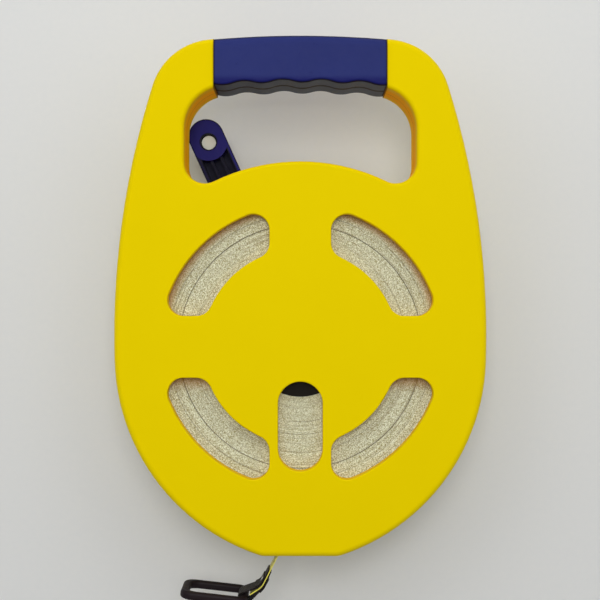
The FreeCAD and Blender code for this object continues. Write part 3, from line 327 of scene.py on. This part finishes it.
def blue_crank_arm():
    """The crank's arm, with painted shade in its ribbed channel, along one side below the boss, in the
    axle's hole and along its turned edges.
    """
    axle_hole, boss = 4.5 * MM, 9.6 * MM
    finish, tone = moulded("crank_blue_arm", colour(30, 27, 110), colour(22, 20, 84), 0.5, 0.08, 0.015, 0.2)
    x, y, z = finish.axes(finish.place())
    reach = math.hypot(KNOB_AT[0], KNOB_AT[2] - REEL_Z)
    right, up = KNOB_AT[0] / reach, (KNOB_AT[2] - REEL_Z) / reach
    high = finish.less(z, REEL_Z)
    along = finish.math("ADD", finish.times(x, right), finish.times(high, up))
    across = finish.less(finish.times(x, up), finish.times(high, right))
    aside = finish.size(across)
    past = finish.less(along, reach)
    end = finish.less(past, ARM_OVER)
    from_axle = finish.span(past, across)
    from_end = finish.span(end, across)
    front = finish.fade(y, ARM_FRONT_Y + 9 * MM, ARM_FRONT_Y + 10 * MM)
    below = finish.times(finish.fade(past, -4 * MM, -3 * MM), front)
    # Painted shade: the ribbed channel below the boss, a strip along one side, the turned edges and the
    # axle's hole are painted near black.
    channel = finish.times(finish.ramp(from_axle, boss, boss + 1 * MM),
                           finish.fade(aside, 7.5 * MM, 8.3 * MM), below, 0.93)
    painted_side_shade = finish.times(finish.fade(across, -8.2 * MM, -7.2 * MM, 0.75),
                           finish.ramp(from_axle, boss - 0.2 * MM, boss + 0.8 * MM), below)
    round_end = finish.times(finish.ramp(from_end, ARM_HALF - 0.9 * MM, ARM_HALF - 0.4 * MM),
                             finish.ramp(end, -0.5 * MM, 0.0))
    straight_edge = finish.ramp(aside, ARM_HALF - 0.8 * MM, ARM_HALF - 0.3 * MM)
    edge = finish.times(finish.most(round_end, straight_edge), front, 0.8)
    hole = finish.times(finish.fade(from_axle, axle_hole, axle_hole + 0.5 * MM, 0.95), front)
    # All four masks are painted shade.
    for mask, paint in ((channel, colour(9, 8, 18)), (painted_side_shade, colour(10, 9, 24)),
                        (edge, colour(12, 10, 30)), (hole, colour(8, 8, 14))):
        tone = finish.mix(mask, tone, paint)
    finish.shade("Base Color", tone)
    return finish.material


def metal(name, base, dull, rough):
    """Plated or turned metal with faint clouds and fine scratches."""
    scratch_scale, cloud_scale = (9000, 900, 900), 700
    finish = Finish(name, Metallic=1.0)
    place = finish.place()
    scratches = finish.noise(finish.stretch(place, scratch_scale), detail=3)
    clouds = finish.noise(place, cloud_scale, 3)
    finish.shade("Base Color", finish.mix(finish.ramp(clouds, 0.35, 0.7), base, dull))
    finish.shade("Roughness", finish.ramp(scratches, 0.3, 0.7, rough - 0.08, rough + 0.1))
    finish.bump(scratches, 0.004 * MM)
    return finish.material


def woven_strap():
    """Black rubbered webbing that folds over the ring: a fine weave with dusty threads."""
    warp_scale, weft_scale, slant, dust_scale = 5200, 6200, 1.3, 900
    finish = Finish("strap_black", Specular_IOR_Level=0.12, Sheen_Weight=0.03, Sheen_Roughness=0.5)
    place = finish.place()
    x, y, z = finish.axes(place)
    warp = finish.math("SINE", finish.times(finish.math("ADD", x, finish.times(z, slant)), warp_scale))
    weft = finish.math("SINE", finish.times(y, weft_scale))
    weave = finish.times(warp, weft)
    dust = finish.noise(place, dust_scale, 4, 0.7)
    tone = finish.mix(finish.ramp(weave, -0.6, 0.8), colour(14, 10, 9), colour(32, 24, 21))
    tone = finish.mix(finish.ramp(dust, 0.5, 0.8, 0.0, 0.25), tone, colour(90, 80, 74))
    finish.shade("Base Color", tone)
    finish.shade("Roughness", finish.ramp(dust, 0.3, 0.7, 0.42, 0.62))
    finish.bump(weave, 0.06 * MM)
    return finish.material


def printed_tape():
    """Yellow coated tape with fine black strokes every 2 mm near both edges."""
    strokes_per_metre = 500
    finish, tone = moulded("tape_yellow", colour(238, 228, 92), colour(214, 200, 60), 0.4, 0.4, 0.01, 0.2)
    x, y, z = finish.axes(finish.place())
    stroke = finish.math("FRACT", finish.times(z, strokes_per_metre))
    off_middle = finish.size(finish.less(y, TAPE_MIDDLE_Y))
    near_edge = finish.times(finish.ramp(off_middle, 3.4 * MM, 3.6 * MM),
                             finish.fade(off_middle, 6.1 * MM, 6.2 * MM))
    ink = finish.times(finish.ramp(stroke, 0.80, 0.84), near_edge)
    finish.shade("Base Color", finish.mix(ink, tone, colour(30, 28, 30)))
    return finish.material


def plain_plastic(*look):
    finish, tone = moulded(*look)
    return finish.material


def finishes():
    """One material for each slot of the record, and the arm's own."""
    made = {
        "case_yellow": yellow_case(),
        "grip_blue": blue_grip(),
        "crank_blue": plain_plastic(
            "crank_blue", colour(22, 20, 94), colour(16, 14, 70), 0.5, 0.12, 0.015, 0.2),
        "black_plastic": plain_plastic(
            "black_plastic", colour(20, 15, 8), colour(34, 27, 18), 0.5, 0.1, 0.02, 0.3),
        "acetal_white": plain_plastic(
            "acetal_white", colour(212, 216, 202), colour(188, 188, 168), 0.4, 0.4, 0.01, 0.25),
        "screw_steel": metal("screw_steel", colour(196, 196, 190), colour(160, 158, 150), 0.34),
        "insert_brass": metal("insert_brass", colour(216, 182, 110), colour(176, 140, 80), 0.3),
        "tape_edge": tape_edges(),
        "tape_yellow": printed_tape(),
        "strap_black": woven_strap(),
        "ring_black": plain_plastic(
            "ring_black", colour(27, 18, 21), colour(43, 32, 35), 0.5, 0.16, 0.02, 0.3),
    }
    for name, node in nodes.items():
        node.data.materials.clear()
        node.data.materials.append(made[slot_of_node[name]])
    nodes["crank_arm"].data.materials[0] = blue_crank_arm()
    return made


# ---------------------------------------------------------------- pieces

def piece(name, mesh, node, smooth_angle):
    """A finished mesh in the row frame that stands for a CAD node and takes its finish. Its
    edges are sharp beyond smooth_angle, in degrees."""
    made = bpy.data.objects.new(name, mesh)
    bpy.context.scene.collection.objects.link(made)
    mesh.materials.append(FINISHES[slot_of_node[node]])
    for polygon in mesh.polygons:
        polygon.use_smooth = True
    mesh.set_sharp_from_angle(angle=math.radians(smooth_angle))
    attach(made, body_of_node[node])
    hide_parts(node)
    return made


def ringed_mesh(rings, closed_loop):
    """A mesh of rings of points, each ring joined to the next, and in a closed loop the last to
    the first."""
    count = len(rings[0])
    points = [point for ring in rings for point in ring]
    faces = []
    pairs = len(rings) if closed_loop else len(rings) - 1
    for index in range(pairs):
        near, far = index * count, (index + 1) % len(rings) * count
        for step in range(count):
            following = (step + 1) % count
            faces.append((near + step, near + following, far + following, far + step))
    mesh = bpy.data.meshes.new("rings")
    mesh.from_pydata(points, [], faces)
    return mesh


def wound_tape():
    """The full coil: every turn's edge stands a little in or out, and some turns lie deeper
    and show as dark arcs, in their own shade and in the shade painted on them."""
    random.seed(7)
    steps = 144
    tape_thick, groove, dark_turn_sink, outer_edge = 0.45 * MM, 0.2 * MM, 0.6 * MM, 0.5 * MM
    low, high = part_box("tape_coil")
    outer = (high.x - low.x) / 2
    inner = min(math.hypot(v.co.x, v.co.z - REEL_Z) for v in nodes["tape_coil"].data.vertices)
    turns = round((outer - inner) / tape_thick)
    pitch = (outer - inner) / turns

    def side(sign, face):
        """Rings of one side, from the hub outwards, none of them beyond the CAD face."""
        rings = []
        for turn in range(turns):
            start = inner + turn * pitch
            deep = sum(strength for radius, strength in DARK_TURNS if start <= radius < start + pitch)
            rest = random.uniform(0.02, 0.26) * MM + deep * dark_turn_sink
            swing = random.uniform(0.02, 0.10) * MM
            waves, phase = random.randint(1, 5), random.uniform(0, math.tau)
            top_share = random.uniform(0.60, 0.78)
            for share, sink in ((0.0, groove), (0.5 - top_share / 2, 0.0), (0.5 + top_share / 2, 0.0)):
                ring = []
                for step in range(steps):
                    angle = math.tau * step / steps
                    in_from_face = rest + swing * (1 + math.sin(waves * angle + phase)) + sink
                    radius = start + share * pitch
                    ring.append((radius * math.cos(angle), face + sign * in_from_face,
                                 REEL_Z + radius * math.sin(angle)))
                rings.append(ring)
        rings.append([(outer * math.cos(math.tau * s / steps), face + sign * outer_edge,
                       REEL_Z + outer * math.sin(math.tau * s / steps)) for s in range(steps)])
        return rings

    front = side(1, low.y)
    back = side(-1, high.y)
    return piece("tape_turns", ringed_mesh(front + back[::-1], True), "tape_coil", 50)


def middles(name):
    """The x and z middles of a CAD node's separate solids that lie along Y."""
    spots = []
    for vertex in nodes[name].data.vertices:
        for spot in spots:
            if math.hypot(vertex.co.x - spot[0][0], vertex.co.z - spot[0][1]) < SCREW_REACH:
                spot.append((vertex.co.x, vertex.co.z))
                break
        else:
            spots.append([(vertex.co.x, vertex.co.z)])
    return [tuple((min(p[i] for p in spot) + max(p[i] for p in spot)) / 2 for i in (0, 1)) for spot in spots]


def screw_rings(x, z, tip, seat, top, head_rad, turned):
    """Rings of a pan-head screw whose head faces +Y, with a cross recess."""
    steps, high = 48, top - seat
    arm_half, arm_long, recess, wall = head_rad * 0.13, head_rad * 0.58, high * 0.62, head_rad * 0.05
    pin_prick = 0.0001 * MM
    top_shares = (0.88, 0.8, 0.72, 0.66, 0.61, 0.57, 0.53, 0.47, 0.4, 0.32, 0.25, 0.2, 0.17, 0.14, 0.1,
                  0.05, 0.001)

    def ring(radius, y):
        return [(x + radius * math.cos(math.tau * s / steps + turned), y,
                 z + radius * math.sin(math.tau * s / steps + turned)) for s in range(steps)]

    rings = [ring(pin_prick, tip), ring(SHANK_RAD * 0.55, tip), ring(SHANK_RAD, tip + 0.8 * MM),
             ring(SHANK_RAD, seat), ring(head_rad * 0.97, seat), ring(head_rad, seat + 0.1 * high),
             ring(head_rad, seat + 0.45 * high), ring(head_rad * 0.95, seat + 0.68 * high)]
    for share in top_shares:
        radius = head_rad * share
        dome = top - high * 0.3 * share ** 2.5
        points = []
        for s in range(steps):
            angle = math.tau * s / steps
            out, over = radius * math.cos(angle), radius * math.sin(angle)
            near = min(max(abs(out) - arm_long, abs(over) - arm_half),
                       max(abs(over) - arm_long, abs(out) - arm_half))
            sunk = recess * min(1.0, max(0.0, -near / wall))
            taper = 1 - 0.5 * min(1.0, math.hypot(out, over) / arm_long)
            points.append((x + radius * math.cos(angle + turned), dome - sunk * taper,
                           z + radius * math.sin(angle + turned)))
        rings.append(points)
    return rings


def joined_meshes(name, parts):
    """One mesh of several."""
    work = bmesh.new()
    for part in parts:
        work.from_mesh(part)
        bpy.data.meshes.remove(part)
    mesh = bpy.data.meshes.new(name)
    work.to_mesh(mesh)
    work.free()
    return mesh


def capped(mesh):
    """Closes the pin-prick holes at a lathe mesh's two ends."""
    work = bmesh.new()
    work.from_mesh(mesh)
    bmesh.ops.remove_doubles(work, verts=work.verts, dist=0.002 * MM)
    bmesh.ops.holes_fill(work, edges=work.edges, sides=0)
    bmesh.ops.recalc_face_normals(work, faces=work.faces)
    work.to_mesh(mesh)
    work.free()
    return mesh


def cross_screws(name, node):
    """Pan-head screws in place of the CAD node's plain ones."""
    random.seed(len(node))
    low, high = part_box(node)
    spots = middles(node)

    def reach(vertex):
        return min(math.hypot(vertex.co.x - x, vertex.co.z - z) for x, z in spots)

    head_rad = max(reach(vertex) for vertex in nodes[node].data.vertices)
    seat = min(vertex.co.y for vertex in nodes[node].data.vertices if reach(vertex) > 0.98 * head_rad)
    parts = []
    for x, z in spots:
        rings = screw_rings(x, z, low.y, seat, high.y, head_rad, random.uniform(0, math.tau))
        parts.append(capped(ringed_mesh(rings, False)))
    return piece(name, joined_meshes(name, parts), node, 35)


# ---------------------------------------------------------------- camera, light and stage

def make_camera():
    data = bpy.data.cameras.new("camera")
    data.lens = LENS
    camera = bpy.data.objects.new("camera", data)
    camera.location = CAMERA_AT
    camera.rotation_euler = (math.radians(90), 0, 0)
    bpy.context.scene.collection.objects.link(camera)
    bpy.context.scene.camera = camera


def make_lamp(name, azimuth, elevation, size, power):
    """A square soft lamp aimed at the middle of the reel, its angles in degrees seen from there."""
    data = bpy.data.lights.new(name, "AREA")
    data.size = size
    data.energy = power
    lamp = bpy.data.objects.new(name, data)
    turned, raised = math.radians(azimuth), math.radians(elevation)
    level = math.cos(raised)
    away = Vector((math.sin(turned) * level, -math.cos(turned) * level, math.sin(raised)))
    lamp.location = Vector(LAMP_AIM) + LAMP_AWAY * away
    lamp.rotation_euler = (-away).to_track_quat("-Z", "Y").to_euler()
    bpy.context.scene.collection.objects.link(lamp)


def make_world():
    world = bpy.data.worlds.new("world")
    bpy.context.scene.world = world
    world.use_nodes = True
    background = world.node_tree.nodes["Background"]
    background.inputs["Color"].default_value = WORLD_COLOUR
    background.inputs["Strength"].default_value = WORLD_STRENGTH


def make_backdrop():
    """The pale surface behind the reel. Seen from its back, it lets the light and the view pass."""
    bpy.ops.mesh.primitive_plane_add(
        size=STAGE_WIDE, location=(0, KNOB_END_Y + STAGE_GAP, 0), rotation=(math.radians(90), 0, 0))
    wall = bpy.context.object
    wall.name = "pale_floor"
    finish = Finish("pale_floor", Roughness=0.9, Specular_IOR_Level=0.1)
    finish.shade("Base Color", finish.mix(
        finish.noise(finish.place(), 300, 3), colour(223, 224, 223), colour(227, 227, 225)))
    from_behind = finish.add("NewGeometry").outputs["Backfacing"]
    clear = finish.add("BsdfTransparent").outputs[0]
    seen = finish.add("MixShader", {0: from_behind, 1: finish.shader.outputs[0], 2: clear})
    finish.put(finish.tree.nodes["Material Output"].inputs["Surface"], seen.outputs[0])
    wall.data.materials.append(finish.material)


FINISHES = finishes()
wound_tape()
cross_screws("case_screw_set", "case_screws")
cross_screws("grip_screw_set", "grip_screws")

make_camera()
for lamp_row in LAMPS:
    make_lamp(*lamp_row)
make_world()
make_backdrop()
bpy.context.scene.view_settings.view_transform = "Standard"
